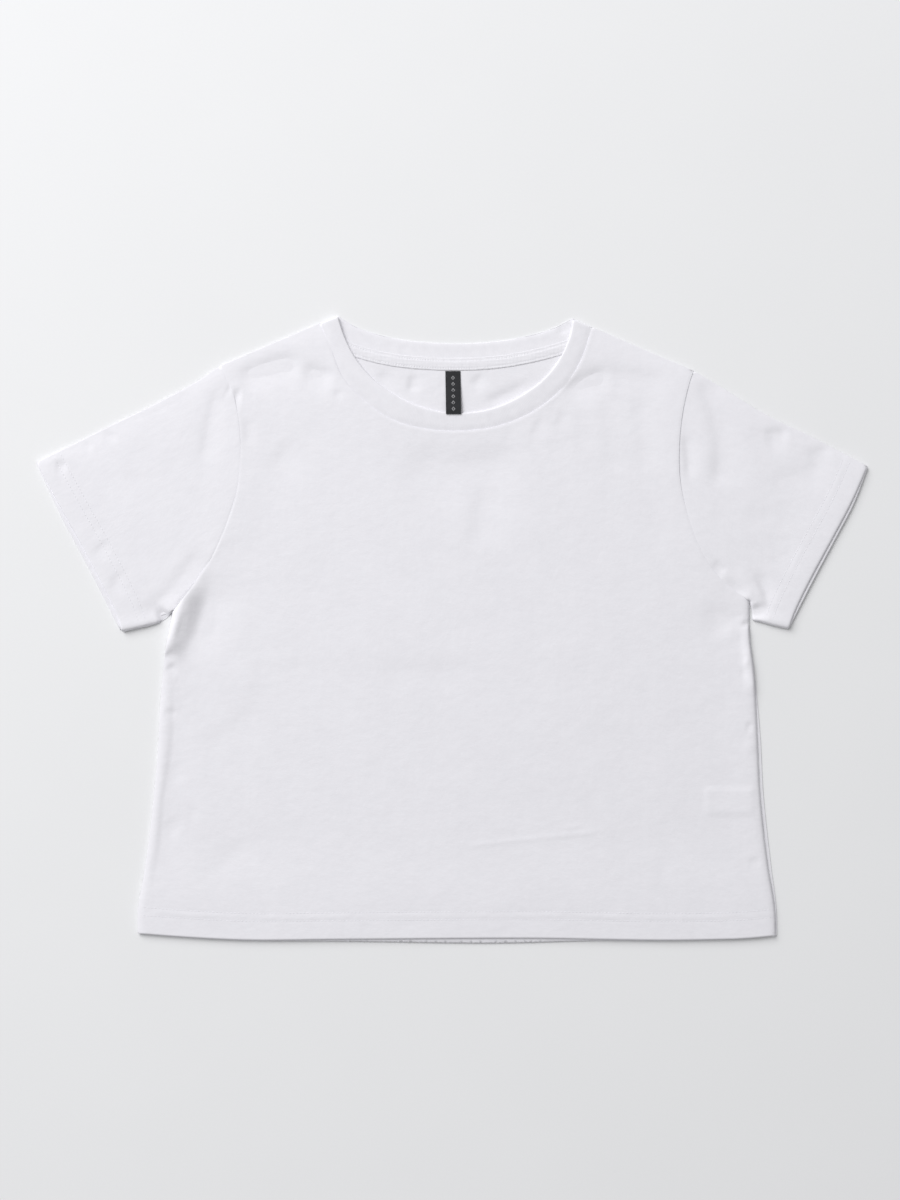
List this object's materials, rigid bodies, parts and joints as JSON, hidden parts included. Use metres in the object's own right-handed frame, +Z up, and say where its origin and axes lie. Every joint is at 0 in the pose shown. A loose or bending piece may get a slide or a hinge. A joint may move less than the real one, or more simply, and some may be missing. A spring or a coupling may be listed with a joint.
{
  "type": "crop top",
  "caption": "Short-sleeved cropped jersey top with a ribbed round neckband, laid flat face up with its sleeves spread.",
  "frame": {"origin": "on the surface, under the middle of the garment's bounding box", "axes": "+X to the wearer's left, +Y from hem to neck, +Z up from the surface, out of the garment's front"},
  "size_m": [0.666, 0.502, 0.0059],
  "materials": {
    "jersey": "matte fine cotton jersey knit, white",
    "rib": "matte fine rib knit, white",
    "tape": "matte jersey tape, white, twin stitched",
    "woven_label": "black woven damask tape",
    "care_label": "white satin ribbon"
  },
  "bodies": {
    "root": {"front": "jersey", "back": "jersey", "sleeve_right": "jersey", "sleeve_left": "jersey", "neckband": "rib", "neck_tape": "tape", "neck_label": "woven_label", "care_label": "care_label"}
  },
  "joints": []
}
